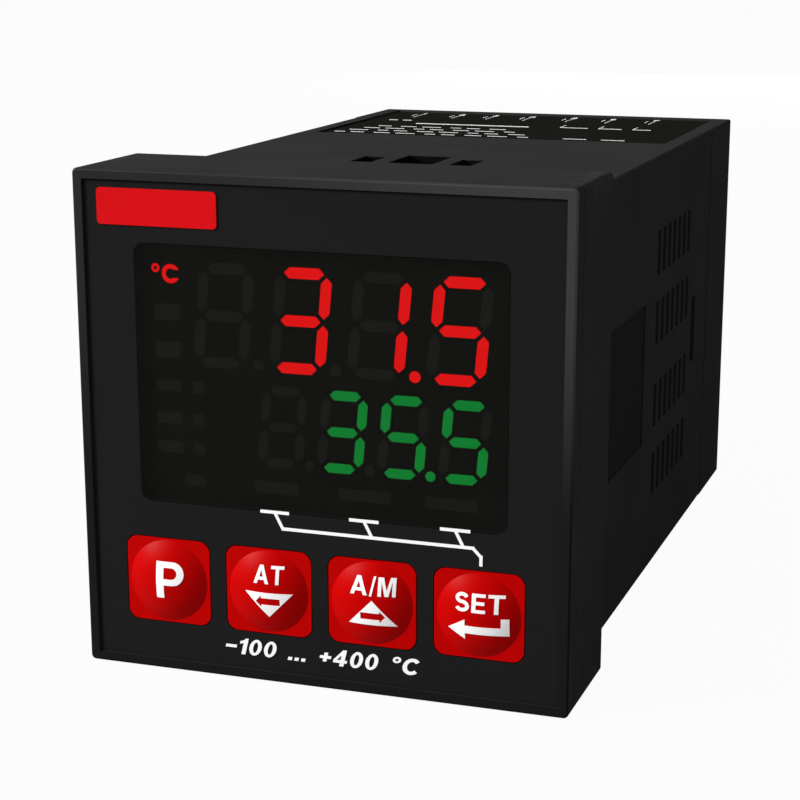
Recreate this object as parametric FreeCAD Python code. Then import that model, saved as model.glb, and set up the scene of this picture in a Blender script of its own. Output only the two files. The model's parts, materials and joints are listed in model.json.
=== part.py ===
import FreeCAD, Part
import math
import os

# Panel-mounted temperature controller with a 48 mm square front.
# Millimetres. +X is to the right of somebody who reads the front, +Y goes into the panel, +Z is up.
# The origin is the centre of the panel cut-out, in the plane where the flange bears on the panel.

# ---- front ----
front_side = 48.0            # outer side of the square front
flange_depth = 12.7          # front rim to the face that bears on the panel
front_corner = 0.5           # corner radius of the front
bezel_depth = 2.35           # visible depth of the bezel
seam_gap = 0.12              # open joint line between two casings
rim_width = 0.95
rim_round = 0.25
overlay_drop = 0.25          # overlay face below the rim
overlay_thickness = 0.3
overlay_play = 0.06
overlay_corner = 0.15

# ---- display window ----
window_width = 36.0
window_height = 24.55
window_top_margin = 6.7      # top of the front to the top of the window
window_corner = 1.05
window_thickness = 0.8
window_play = 0.05

# ---- keys ----
key_names = ["program", "down", "up", "set"]
window_key_gap = 3.66        # between the window and the keys
key_corner = 1.1
key_bottom_margin = 4.76     # bottom of the front to the bottom of the keys
key_play = 0.1               # all round, between a key and its hole
key_travel = 0.5
key_flange_reach = 0.4
key_flange_thickness = 0.8
key_flange_play = 0.05
key_flange_gap = 0.95        # between the flanges of two keys
key_side_play = 0.325        # between the outer flanges and the skirt
dome_margin = 0.175          # between a dome and the top edge of its key
dome_height = 0.9
stem_radius = 1.8
stem_length = 1.6
switch_side = 6.0
switch_floor = 1.0
plunger_radius = 1.7
plunger_stand = 0.8          # plunger above its switch
plunger_play = 0.08

# ---- front print ----
print_thickness = 0.05
line_width = 0.3
bar_length = 2.87
bar_places = [-4.4, 4.4, 13.15]     # from the middle of the front
trunk_drop = 1.53            # trunk line below the window
trunk_shift = 0.8            # run of each slanted line to the right
trunk_turn = 0.77            # size of the trunk's last slanted stretch
trunk_foot_gap = 0.5         # foot of the trunk above its key
trunk_foot_shift = 0.16      # foot of the trunk beside its key's middle
badge_width = 12.0
badge_height = 3.4
badge_thickness = 0.12
badge_side_margin = 2.4
badge_top_margin = 1.7
badge_corner = 0.4

# ---- digits and signs behind the window ----
well_depth = 0.5
row_top_gap = 1.595          # upper row below the window's top edge
row_gap = 1.265               # between the two rows
row_foot_gap = 1.39          # between the lower row and the lowest signs
row_step = 2.07               # upper digits taller than the lower ones
upper_stroke = 1.04
upper_gap = 2.07              # between two digits
upper_left_margin = 8.495      # middle of the first digit to the window's left edge
upper_right_margin = 4.78    # middle of the last digit to the window's right edge
upper_slant = 5.3            # degrees
upper_shows = [" ", "3", "1", "5"]
lower_stroke = 0.92
lower_gap = 1.35
lower_left_margin = 14.185
lower_right_margin = 4.25
lower_slant = 5.2            # degrees
lower_shows = [" ", "3", "5", "5"]
point_after = 2              # the lit decimal point follows this digit
segment_gap = 0.28
point_share = 0.52           # point radius over the stroke
sign_left_margin = 2.83        # middle of the lit sign to the window's left edge
sign_drop = 2.85
sign_height = 1.8
sign_stroke = 0.42
unlit_left_margin = 1.5
unlit_width = 2.565
unlit_letter_height = 1.52
unlit_bar_height = 1.14
unlit_letter_drops = [0.263, 0.409]         # over the window's height
unlit_bar_drops = [0.548, 0.674, 0.788]
foot_row_rise = 2.10         # middle of the lowest row above the window's bottom edge
foot_row_spans = [(-13.8, -11.7), (-6.7, -2.4), (1.7, 6.7), (10.0, 15.0)]    # from the middle

# ---- display module and its board ----
module_side_play = 1.05      # between the module and the bezel's skirt
module_reach = 1.4           # module above and below the window
module_face_play = 0.05
board_thickness = 1.6
display_board_play = 0.4     # beside the display board
display_board_rear_play = 0.5
board_arm_play = 0.25        # between a board and a latch arm
driver_side = 9.0
chip_height = 1.4
header_width = 2.5
header_length = 16.0

# ---- housing ----
flange_step = 1.6            # flange beyond the tube
body_corner = 0.25
body_wall = 1.5
body_length = 58.4
flange_wall = 2.2
shoulder = 1.5               # web between the flange pocket and the panel
seal_width = 0.9
seal_depth = 0.8
skirt_play = 0.15
skirt_wall = 1.2
arm_side = 0.8               # arm beyond the guide windows
arm_thickness = 1.0
arm_play = 0.15
arm_overhang = 0.9           # arm beyond the latch window
hook_play = 0.3
hook_drop = 0.5              # hook below the outer face
hook_ramp = 3.2
hook_toe = 0.3               # height left at the foot of the ramp
latch_window_y = 13.4
latch_window_width = 4.8
latch_window_length = 7.3
guide_window_width = 2.35
guide_window_length = 5.2
guide_window_gap = 1.7

# ---- rack and vents in both side walls ----
rack_y = 7.9
rack_length = 15.8
rack_height = 15.1
rack_depth = 0.8
rack_teeth = 12
rack_crest = 0.1             # tooth crest below the wall's face
crest_start = 0.3            # steep flank of a tooth, over its pitch
crest_end = 0.45
vent_y = 29.0
vent_pitch = 2.7
vent_count = 7
vent_width = 1.5
vent_height = 4.75
vent_rows = [-12.1, -4.5, 4.5, 12.1]
slot_setback = 9.3           # slot before the joint line at the rear
slot_width = 2.4
slot_height = 7.7

# ---- terminal base ----
base_step = 0.05             # base proud of the tube
base_length = 12.28
base_wall = 1.5
base_edge = 0.2
spigot_length = 3.0
spigot_wall = 1.2
spigot_play = 0.15
cell_count = 6
cell_depth = 7.8             # rear face to the terminal plates' seat
channel_set_in = 0.8         # channel's inner wall inside the upright boards
channel_end_wall = 0.55
rib_thickness = 1.0
spine_wall = 1.8
plate_thickness = 0.8
plate_play = 0.3             # beside a plate in its cell
plate_end_play = 1.05
blade_width = 2.4
blade_play = 0.1
blade_overlap = 4.0          # blade along the board
washer_inset = 0.1           # washer inside its plate's edges
washer_thickness = 0.6
washer_play = 0.15
screw_radius = 1.45
screw_length = 5.5
screw_play = 0.05
screw_end_play = 0.3
head_radius = 2.7
head_height = 1.9
head_round = 0.35
cross_length = 3.2
cross_width = 0.7
cross_depth = 1.0

# ---- label on top ----
label_margin = 1.9           # recess to the tube's sides
label_length = 29.5
label_rear_margin = 1.2        # recess to the rear face
label_recess = 0.3
label_thickness = 0.12
label_play = 0.1

# ---- circuit boards and what they carry ----
board_offset = 14.0          # middle to the outer face of each upright board
board_end_gap = 4.0          # upright boards before the joint line at the rear
core_width = 16.0
core_height = 13.0
core_thickness = 5.0
core_leg = 5.0
core_side_leg = 2.5
core_yoke = 2.6
core_lift = 0.8
bobbin_wall = 0.7
bobbin_flange = 1.0
bobbin_half_y = 6.0
bobbin_play = 0.1
winding_inset = 0.3
transformer_y = 12.0
transformer_z = 9.0
relay_length = 20.0
relay_width = 10.0
relay_height = 15.0
relay_round = 0.5
relay_y = 26.0
alarm_relay_z = 9.0
output_relay_z = -9.0
input_can_radius = 5.0
input_can_height = 15.5
input_can_y = 9.0
input_can_z = -12.0
output_can_radius = 3.15
output_can_height = 11.0
output_can_y = 19.5
output_can_z = -12.0
can_groove = 0.35
varistor_radius = 4.0
varistor_thickness = 4.2
varistor_gap = 2.3           # behind the relays
varistor_z = 9.0
controller_side = 10.0
controller_y = 16.0
converter_length = 10.3
converter_width = 7.5
converter_y = 36.0

# ---- planes and places that follow from the sizes above ----
front_y = -flange_depth
seam_y = front_y + bezel_depth
overlay_y = front_y + overlay_drop
bezel_plate_y = overlay_y + overlay_thickness
module_y = overlay_y + window_thickness + module_face_play
display_board_rear = -shoulder - display_board_rear_play
display_board_y = display_board_rear - board_thickness

pocket_side = front_side - 2 * flange_wall
skirt_side = pocket_side - 2 * skirt_play
skirt_hollow = skirt_side - 2 * skirt_wall
window_top = front_side / 2 - window_top_margin
window_bottom = window_top - window_height
window_left = -window_width / 2
window_right = window_width / 2

key_count = len(key_names)
key_height = window_bottom - window_key_gap - (key_bottom_margin - front_side / 2)
key_flange_width = (skirt_hollow - 2 * key_side_play - (key_count - 1) * key_flange_gap) / key_count
key_pitch = key_flange_width + key_flange_gap
key_width = key_flange_width - 2 * key_flange_reach
key_centre_z = -front_side / 2 + key_bottom_margin + key_height / 2
key_flange_y = seam_y + key_flange_play
key_flange_rear = key_flange_y + key_flange_thickness
dome_radius = min(key_width, key_height) / 2 - dome_margin
plunger_y = key_flange_rear + stem_length
switch_y = plunger_y + plunger_stand
plunger_length = display_board_y - switch_floor - 2 * key_travel - plunger_y

rows_height = window_height - row_top_gap - row_gap - row_foot_gap - foot_row_rise - unlit_bar_height / 2
upper_height = (rows_height + row_step) / 2
lower_height = (rows_height - row_step) / 2
upper_z = window_top - row_top_gap - upper_height / 2
lower_z = upper_z - upper_height / 2 - row_gap - lower_height / 2
upper_pitch = (window_width - upper_left_margin - upper_right_margin) / (len(upper_shows) - 1)
lower_pitch = (window_width - lower_left_margin - lower_right_margin) / (len(lower_shows) - 1)
upper_width = upper_pitch - upper_gap
lower_width = lower_pitch - lower_gap

body_side = front_side - 2 * flange_step
body_inner = body_side / 2 - body_wall
arm_top = body_inner - arm_play
guide_window_x = latch_window_width / 2 + guide_window_gap + guide_window_width / 2
arm_width = 2 * guide_window_x + guide_window_width + 2 * arm_side
board_height = 2 * (arm_top - arm_thickness - board_arm_play)
display_board_width = pocket_side - 2 * display_board_play
board_end_y = body_length - board_end_gap
power_face = -board_offset + board_thickness
main_face = board_offset - board_thickness

base_side = body_side + 2 * base_step
base_y = body_length + seam_gap
base_end = base_y + base_length
seat_y = base_end - cell_depth
plate_top_y = seat_y + plate_thickness
washer_top_y = plate_top_y + washer_thickness
head_top_y = washer_top_y + head_height
channel_outer = base_side / 2 - base_wall
channel_inner = board_offset - channel_set_in
channel_half = channel_outer - channel_end_wall
cell_pitch = 2 * channel_half / cell_count
plate_width = cell_pitch - rib_thickness - 2 * plate_play
plate_length = channel_outer - plate_end_play - board_offset
screw_x = board_offset + plate_length / 2 + plate_thickness / 4
washer_side = plate_width - 2 * washer_inset
spine_half = channel_inner - spine_wall
label_end = base_end - label_rear_margin
label_y = label_end - label_length
label_width = body_side - 2 * label_margin
label_floor = body_side / 2 - label_recess
past = 1.0                   # how far a cutter runs beyond the face that it opens


def vec(x, y, z):
    return FreeCAD.Vector(x, y, z)


def box(x0, x1, y0, y1, z0, z1):
    """A block between two opposite corners."""
    return Part.makeBox(x1 - x0, y1 - y0, z1 - z0, vec(x0, y0, z0))


def prism(points, y0, y1):
    """A polygon of (x, z) points carried from y0 to y1."""
    ring = [vec(x, y0, z) for x, z in points]
    face = Part.Face(Part.makePolygon(ring + [ring[0]]))
    return face.extrude(vec(0, y1 - y0, 0))


def rounded(width, height, radius, y0, y1, x=0.0, z=0.0):
    """A round-cornered rectangle about (x, z), carried from y0 to y1."""
    shape = box(x - width / 2, x + width / 2, y0, y1, z - height / 2, z + height / 2)
    return shape.makeFillet(radius, edges_along(shape, vec(0, 1, 0)))


def edges_along(shape, direction):
    """The straight edges of a shape that run along a direction."""
    found = []
    for edge in shape.Edges:
        if isinstance(edge.Curve, Part.Line) and edge.Curve.Direction.cross(direction).Length < 1e-6:
            found.append(edge)
    return found


def edges_in_plane(shape, y):
    """The edges of a shape that lie in the plane at y."""
    return [edge for edge in shape.Edges if abs(edge.BoundBox.YMin - y) + abs(edge.BoundBox.YMax - y) < 1e-5]


def rod_y(radius, y0, y1, x, z):
    """A round rod along Y."""
    return Part.makeCylinder(radius, y1 - y0, vec(x, y0, z), vec(0, 1, 0))


def rod_x(radius, x0, x1, y, z):
    """A round rod along X."""
    return Part.makeCylinder(radius, x1 - x0, vec(x0, y, z), vec(1, 0, 0))


def turned_over(shape):
    """The same shape on the other side of the XY plane."""
    return shape.mirror(vec(0, 0, 0), vec(0, 0, 1))


def swapped(shape):
    """The same shape on the other side of the YZ plane."""
    return shape.mirror(vec(0, 0, 0), vec(1, 0, 0))


def save(shape, node):
    """Write one sub-part."""
    if not shape.isValid() or shape.Volume <= 0:
        raise ValueError(node + " is not a sound solid")
    shape.exportStep("parts/" + node + ".step")


def window_opening(play, y0, y1):
    """The outline of the display window, grown by a play on every side."""
    return rounded(window_width + 2 * play, window_height + 2 * play, window_corner + play, y0, y1,
                   0, (window_top + window_bottom) / 2)


def key_x(index):
    return (index - (key_count - 1) / 2) * key_pitch


def key_outline(index, play, y0, y1):
    """The outline of one key, grown by a play on every side."""
    return rounded(key_width + 2 * play, key_height + 2 * play, key_corner + play, y0, y1,
                   key_x(index), key_centre_z)


def front_holes(y0, y1):
    """The window and key holes that go through the bezel's plate and the overlay."""
    holes = [window_opening(window_play, y0, y1)]
    for index in range(key_count):
        holes.append(key_outline(index, key_play, y0, y1))
    return holes


# ---------------------------------------------------------------- front
def latch_arm():
    """A springy arm above the boards, with the hook that snaps into the housing's latch window."""
    arm_end = latch_window_y + latch_window_length + arm_overhang
    arm = box(-arm_width / 2, arm_width / 2, seam_y, arm_end, arm_top - arm_thickness, arm_top)
    half = latch_window_width / 2 - hook_play
    start = latch_window_y + hook_play
    end = latch_window_y + latch_window_length - hook_play
    hook = box(-half, half, start, end, arm_top, body_side / 2 - hook_drop)
    return arm.fuse(hook.cut(hook_slope(end)))


def hook_slope(end):
    """The wedge cut from a hook's rear top corner, so that it slides in and snaps out."""
    high = body_side / 2 - hook_drop
    low = arm_top + hook_toe
    reach = latch_window_width
    corner = [vec(-reach, end - hook_ramp, high), vec(-reach, end, high), vec(-reach, end, low)]
    return Part.Face(Part.makePolygon(corner + [corner[0]])).extrude(vec(2 * reach, 0, 0))


def front_bezel():
    """Rim, plate with the window and key holes, skirt inside the flange and two latch arms."""
    rim = rounded(front_side, front_side, front_corner, front_y, seam_y)
    rim = rim.makeFillet(rim_round, edges_in_plane(rim, front_y))
    inside = front_side - 2 * rim_width
    rim = rim.cut(rounded(inside, inside, overlay_corner, front_y - past, bezel_plate_y))
    rim = rim.cut(front_holes(bezel_plate_y - past, seam_y + past))
    skirt = rounded(skirt_side, skirt_side, overlay_corner, seam_y, display_board_y)
    half = skirt_hollow / 2
    skirt = skirt.cut(box(-half, half, seam_y - past, display_board_y + past, -half, half))
    arm = latch_arm()
    return rim.fuse([skirt, arm, turned_over(arm)]).removeSplitter()


def front_seal():
    """A square sealing ring between the bezel and the housing's flange."""
    middle = (front_side + pocket_side) / 2
    outer = middle + seal_width
    inner = middle - seal_width
    rear = seam_y + seam_gap + seal_depth
    ring = rounded(outer, outer, front_corner, seam_y, rear)
    return ring.cut(rounded(inner, inner, overlay_corner, seam_y - past, rear + past))


def front_overlay():
    """The printed film that covers the bezel's plate."""
    side = front_side - 2 * rim_width - 2 * overlay_play
    film = rounded(side, side, overlay_corner, overlay_y, bezel_plate_y)
    return film.cut(front_holes(overlay_y - past, bezel_plate_y + past))


def stroke(start, end, y0):
    """A straight printed line between two (x, z) points."""
    run = (end[0] - start[0], end[1] - start[1])
    length = math.hypot(run[0], run[1])
    side = (-run[1] / length * line_width / 2, run[0] / length * line_width / 2)
    ends = [(start[0] + side[0], start[1] + side[1]), (end[0] + side[0], end[1] + side[1]),
            (end[0] - side[0], end[1] - side[1]), (start[0] - side[0], start[1] - side[1])]
    return prism(ends, y0, overlay_y)


def printed_lines():
    """The white bracket that ties three columns of the display to the right-hand key."""
    y0 = overlay_y - print_thickness
    half = line_width / 2
    trunk_z = window_bottom - trunk_drop
    key_top = key_centre_z + key_height / 2
    foot_x = key_x(key_count - 1) + trunk_foot_shift
    turn_x = foot_x - trunk_turn
    turn_z = trunk_z - trunk_turn
    lines = []
    for x in bar_places:
        lines.append(stroke((x - bar_length / 2, window_bottom), (x + bar_length / 2, window_bottom), y0))
        lines.append(stroke((x, window_bottom), (x + trunk_shift, trunk_z), y0))
    first_x = bar_places[0] + trunk_shift
    lines.append(stroke((first_x - half, trunk_z), (turn_x + half, trunk_z), y0))
    lines.append(stroke((turn_x, trunk_z), (foot_x, turn_z), y0))
    lines.append(stroke((foot_x, turn_z + half), (foot_x, key_top + trunk_foot_gap), y0))
    return lines[0].fuse(lines[1:]).removeSplitter()


def badge_plate():
    """A bare plate for a name, in the upper left corner."""
    x = -front_side / 2 + badge_side_margin + badge_width / 2
    z = front_side / 2 - badge_top_margin - badge_height / 2
    return rounded(badge_width, badge_height, badge_corner, overlay_y - badge_thickness, overlay_y, x, z)


def display_window():
    """The smoked window, flush with the overlay."""
    return window_opening(0, overlay_y, overlay_y + window_thickness)


# ---------------------------------------------------------------- keys
def key_cap(index):
    """A square key with a round dome, a flange behind the bezel and a stem for its switch."""
    x = key_x(index)
    cap = key_outline(index, 0, overlay_y, key_flange_y)
    flange = key_outline(index, key_flange_reach, key_flange_y, key_flange_rear)
    ball = (dome_radius ** 2 + dome_height ** 2) / (2 * dome_height)
    sphere = Part.makeSphere(ball, vec(x, overlay_y - dome_height + ball, key_centre_z))
    dome = sphere.common(rod_y(dome_radius, overlay_y - 2 * dome_height, key_flange_y, x, key_centre_z))
    stem = rod_y(stem_radius, key_flange_rear, plunger_y, x, key_centre_z)
    return cap.fuse([flange, dome, stem]).removeSplitter()


def plunger(index):
    """The moving pin of a key's switch."""
    return rod_y(plunger_radius, plunger_y, plunger_y + plunger_length, key_x(index), key_centre_z)


def switch_body(index):
    """The square body of a key's switch, with the bore that its plunger runs in."""
    x = key_x(index)
    half = switch_side / 2
    body = box(x - half, x + half, switch_y, display_board_y, key_centre_z - half, key_centre_z + half)
    bore_end = display_board_y - switch_floor
    return body.cut(rod_y(plunger_radius + plunger_play, switch_y - past, bore_end, x, key_centre_z))


# ---------------------------------------------------------------- display
SEGMENTS = {
    "a": (0, 1),
    "b": (1, 0.5),
    "c": (1, -0.5),
    "d": (0, -1),
    "e": (-1, -0.5),
    "f": (-1, 0.5),
    "g": (0, 0),
}
SHAPES = {" ": "", "1": "bc", "3": "abcdg", "5": "acdfg"}


def segment(name, x, z, width, height, bar, slant):
    """One bar of a digit: a long hexagon, lying or upright, leaned by the slant."""
    across, up = SEGMENTS[name]
    middle = (across * (width - bar) / 2, up * (height - bar) / 2)
    if across:
        reach = (height - bar) / 4 - segment_gap
        outline = [(0, reach), (bar / 2, reach - bar / 2), (bar / 2, bar / 2 - reach),
                   (0, -reach), (-bar / 2, bar / 2 - reach), (-bar / 2, reach - bar / 2)]
    else:
        reach = (width - bar) / 2 - segment_gap
        outline = [(reach, 0), (reach - bar / 2, bar / 2), (bar / 2 - reach, bar / 2),
                   (-reach, 0), (bar / 2 - reach, -bar / 2), (reach - bar / 2, -bar / 2)]
    lean = math.tan(math.radians(slant))
    points = []
    for dx, dz in outline:
        height_here = middle[1] + dz
        points.append((x + middle[0] + dx + height_here * lean, z + height_here))
    return prism(points, module_y, module_y + well_depth)


def digit_row(last_x, z, pitch, width, height, bar, slant, shows):
    """The lit and the unlit windows of a row of digits and their decimal points."""
    first_x = last_x - (len(shows) - 1) * pitch
    lit = []
    unlit = []
    for place, sign in enumerate(shows):
        x = first_x + place * pitch
        for name in SEGMENTS:
            home = lit if name in SHAPES[sign] else unlit
            home.append(segment(name, x, z, width, height, bar, slant))
    radius = bar * point_share
    foot = height / 2 - radius
    for place in range(len(shows) - 1):
        x = first_x + (place + 0.5) * pitch - foot * math.tan(math.radians(slant))
        dot = rod_y(radius, module_y, module_y + well_depth, x, z - foot)
        home = lit if place == point_after else unlit
        home.append(dot)
    return lit, unlit


def upper_row():
    return digit_row(window_right - upper_right_margin, upper_z, upper_pitch,
                     upper_width, upper_height, upper_stroke, upper_slant, upper_shows)


def lower_row():
    return digit_row(window_right - lower_right_margin, lower_z, lower_pitch,
                     lower_width, lower_height, lower_stroke, lower_slant, lower_shows)


def ring_y(outer, inner, x, z):
    """A flat ring in the display's face."""
    disc = rod_y(outer, module_y, module_y + well_depth, x, z)
    return disc.cut(rod_y(inner, module_y - past, module_y + well_depth + past, x, z))


def open_letter(x, z, height):
    """A letter C: a round ring, stretched upright, with its right side open."""
    half = height / 2
    letter = ring_y(half, half - sign_stroke, x, z)
    return letter.cut(box(x + half * 0.35, x + height, module_y - past, module_y + well_depth + past,
                          z - half * 0.42, z + half * 0.42))


def unit_sign():
    """The lit degree sign and its letter."""
    x = window_left + sign_left_margin
    z = window_top - sign_drop
    half = sign_height / 2
    degree = ring_y(sign_stroke, sign_stroke * 0.4, x - half - sign_stroke / 2, z + half - sign_stroke)
    return [degree, open_letter(x + sign_stroke, z, sign_height)]


def bar_sign(x0, x1, z, height):
    """A plain unlit window for a sign."""
    return box(x0, x1, module_y, module_y + well_depth, z - height / 2, z + height / 2)


def unlit_signs():
    """Plain windows in the places of the signs that are off: a column at the left and a row below."""
    left = window_left + unlit_left_margin
    right = left + unlit_width
    dot = unlit_bar_height
    signs = []
    for drop in unlit_letter_drops:
        signs.append(bar_sign(left, right, window_top - drop * window_height, unlit_letter_height))
    for drop in unlit_bar_drops:
        z = window_top - drop * window_height
        signs.append(bar_sign(left, right, z, unlit_bar_height))
        signs.append(bar_sign(right + dot, right + 2 * dot, z, unlit_bar_height))
    for start, end in foot_row_spans:
        signs.append(bar_sign(start, end, window_bottom + foot_row_rise, unlit_bar_height))
    return signs


def display_block(wells):
    """The display module's body, with a raised face in the window hole and a well for each light."""
    body_y = seam_y + module_face_play
    face = window_opening(-window_play, module_y, body_y)
    wide = skirt_hollow / 2 - module_side_play
    body = box(-wide, wide, body_y, display_board_y, window_bottom - module_reach, window_top + module_reach)
    return face.fuse(body).removeSplitter().cut(wells)


def display_board():
    half_x = display_board_width / 2
    half_z = board_height / 2
    return box(-half_x, half_x, display_board_y, display_board_rear, -half_z, half_z)


def display_driver_chip():
    half = driver_side / 2
    return box(-half, half, display_board_rear, display_board_rear + chip_height, -half, half)


def board_header():
    """A plastic pin strip in the corner between the display board and the main board."""
    return box(main_face - header_width, main_face, display_board_rear, display_board_rear + header_width,
               -header_length / 2, header_length / 2)


# ---------------------------------------------------------------- housing
def housing_blank():
    """Flange with its pocket, and the long square tube behind it."""
    flange_front = seam_y + seam_gap
    flange = rounded(front_side, front_side, front_corner, flange_front, 0)
    tube = rounded(body_side, body_side, body_corner, -shoulder, body_length)
    shape = flange.fuse(tube).removeSplitter()
    pocket = rounded(pocket_side, pocket_side, overlay_corner, flange_front - past, -shoulder)
    bore = box(-body_inner, body_inner, -2 * shoulder, body_length + past, -body_inner, body_inner)
    middle = (front_side + pocket_side) / 2
    groove_end = flange_front + seal_depth
    groove = rounded(middle + seal_width, middle + seal_width, front_corner, flange_front - past, groove_end)
    groove = groove.cut(rounded(middle - seal_width, middle - seal_width, overlay_corner,
                                flange_front - 2 * past, groove_end + past))
    return shape.cut([pocket, bore, groove])


def latch_windows():
    """The latch window and the two guide windows beside it, cut through the top wall."""
    z0 = body_inner - past
    z1 = body_side / 2 + past
    cuts = [box(-latch_window_width / 2, latch_window_width / 2, latch_window_y,
                latch_window_y + latch_window_length, z0, z1)]
    for side in (-1, 1):
        x = side * guide_window_x
        cuts.append(box(x - guide_window_width / 2, x + guide_window_width / 2, latch_window_y,
                        latch_window_y + guide_window_length, z0, z1))
    return cuts


def side_cuts():
    """The vents and the single slot through the right-hand wall, and the rack's recess in it."""
    outer = body_side / 2
    cuts = []
    for row in vent_rows:
        for number in range(vent_count):
            y = vent_y + number * vent_pitch
            cuts.append(box(body_inner - past, outer + past, y, y + vent_width,
                            row - vent_height / 2, row + vent_height / 2))
    slot_y = body_length - slot_setback
    cuts.append(box(body_inner - past, outer + past, slot_y, slot_y + slot_width,
                    -slot_height / 2, slot_height / 2))
    cuts.append(box(outer - rack_depth, outer + past, rack_y, rack_y + rack_length,
                    -rack_height / 2, rack_height / 2))
    return cuts


def rack():
    """Saw teeth in the recess of the right-hand wall, steep towards the front."""
    floor = body_side / 2 - rack_depth
    crest = body_side / 2 - rack_crest
    pitch = rack_length / rack_teeth
    teeth = []
    for number in range(rack_teeth):
        y = rack_y + number * pitch
        z = -rack_height / 2
        corner = [vec(floor, y, z), vec(crest, y + pitch * crest_start, z),
                  vec(crest, y + pitch * crest_end, z), vec(floor, y + pitch, z)]
        teeth.append(Part.Face(Part.makePolygon(corner + [corner[0]])).extrude(vec(0, 0, rack_height)))
    return teeth


def label_cut():
    """The shallow recess for the label, closed all round; the joint line crosses its floor."""
    return box(-label_width / 2, label_width / 2, label_y, label_end, label_floor, base_side)


def housing():
    shape = housing_blank()
    windows = latch_windows()
    cuts = side_cuts()
    shape = shape.cut(windows + [turned_over(window) for window in windows])
    shape = shape.cut(cuts + [swapped(cut) for cut in cuts])
    shape = shape.cut(label_cut())
    teeth = rack()
    return shape.fuse(teeth + [swapped(tooth) for tooth in teeth]).removeSplitter()


# ---------------------------------------------------------------- terminal base
def cell_z(row):
    return ((cell_count - 1) / 2 - row) * cell_pitch


def channel_cuts():
    """The right-hand wiring channel, its blade slots and its screw holes."""
    screw_end = washer_top_y - screw_length - screw_end_play
    half_slot = blade_width / 2 + blade_play
    cuts = [box(channel_inner, channel_outer, seat_y, base_end + past, -channel_half, channel_half)]
    for row in range(cell_count):
        z = cell_z(row)
        cuts.append(box(board_offset - blade_play, board_offset + plate_thickness + blade_play,
                        base_y - past, seat_y + past, z - half_slot, z + half_slot))
        cuts.append(rod_y(screw_radius + screw_play, screw_end, seat_y + past, screw_x, z))
    return cuts


def channel_ribs():
    """Low ribs between the cells of the right-hand channel."""
    ribs = []
    for row in range(cell_count - 1):
        z = cell_z(row) - cell_pitch / 2
        ribs.append(box(channel_inner, channel_outer, seat_y, head_top_y,
                        z - rib_thickness / 2, z + rib_thickness / 2))
    return ribs


def terminal_base():
    """The rear casing: a hollow spine between two wiring channels, with a spigot in the housing."""
    shape = rounded(base_side, base_side, body_corner, base_y, base_end)
    shape = shape.makeFillet(base_edge, edges_in_plane(shape, base_end))
    half_spigot = body_inner - spigot_play
    spigot = box(-half_spigot, half_spigot, base_y - spigot_length, base_y, -half_spigot, half_spigot)
    hole = half_spigot - spigot_wall
    spigot = spigot.cut(box(-hole, hole, base_y - spigot_length - past, base_y, -hole, hole))
    spine_z = channel_half - base_wall
    hollow = box(-spine_half, spine_half, base_y - past, base_end - spine_wall, -spine_z, spine_z)
    shape = shape.fuse(spigot).cut(hollow)
    cuts = channel_cuts()
    shape = shape.cut(cuts + [swapped(cut) for cut in cuts])
    ribs = channel_ribs()
    shape = shape.fuse(ribs + [swapped(rib) for rib in ribs])
    return shape.cut(label_cut()).removeSplitter()


def terminal_plate(row):
    """A bent strip on the right: the plate under the screw, and the blade that reaches the board."""
    z = cell_z(row)
    x0 = board_offset
    plate = box(x0, x0 + plate_length, seat_y, plate_top_y, z - plate_width / 2, z + plate_width / 2)
    blade = box(x0, x0 + plate_thickness, board_end_y - blade_overlap, seat_y,
                z - blade_width / 2, z + blade_width / 2)
    hole = rod_y(screw_radius + screw_play, seat_y - past, plate_top_y + past, screw_x, z)
    return plate.fuse(blade).removeSplitter().cut(hole)


def terminal_washer(row):
    """A square clamping washer under a screw's head."""
    z = cell_z(row)
    half = washer_side / 2
    x = screw_x
    plate = box(x - half, x + half, plate_top_y, washer_top_y, z - half, z + half)
    return plate.cut(rod_y(screw_radius + washer_play, plate_top_y - past, washer_top_y + past, x, z))


def terminal_screw(row):
    """A round-edged cross-recessed terminal screw."""
    z = cell_z(row)
    head = rod_y(head_radius, washer_top_y, head_top_y, screw_x, z)
    head = head.makeFillet(head_round, edges_in_plane(head, head_top_y))
    shank = rod_y(screw_radius, washer_top_y - screw_length, washer_top_y, screw_x, z)
    cuts = []
    for half_x, half_z in ((cross_length / 2, cross_width / 2), (cross_width / 2, cross_length / 2)):
        cuts.append(box(screw_x - half_x, screw_x + half_x, head_top_y - cross_depth, head_top_y + past,
                        z - half_z, z + half_z))
    return head.fuse(shank).removeSplitter().cut(cuts)


def both_columns(maker):
    """One solid for each terminal, left column first, from the top down."""
    right = [maker(row) for row in range(cell_count)]
    return [swapped(shape) for shape in right] + right


def top_label():
    """The printed label, across the joint between housing and terminal base."""
    half = label_width / 2 - label_play
    top = label_floor + label_thickness
    return box(-half, half, label_y + label_play, label_end - label_play, label_floor, top)


# ---------------------------------------------------------------- boards and components
def upright_board(x0):
    """A circuit board along the housing, with its edge on the display board."""
    half = board_height / 2
    return box(x0, x0 + board_thickness, display_board_rear, board_end_y, -half, half)


def transformer_core():
    """A closed core of two yokes, two side legs and a middle leg."""
    x0 = power_face + core_lift
    x1 = x0 + core_height
    y0 = transformer_y - core_thickness / 2
    y1 = transformer_y + core_thickness / 2
    shape = box(x0, x1, y0, y1, transformer_z - core_width / 2, transformer_z + core_width / 2)
    for side in (-1, 1):
        low = core_leg / 2
        high = core_width / 2 - core_side_leg
        edges = sorted((transformer_z + side * low, transformer_z + side * high))
        shape = shape.cut(box(x0 + core_yoke, x1 - core_yoke, y0 - past, y1 + past, edges[0], edges[1]))
    return shape


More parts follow.
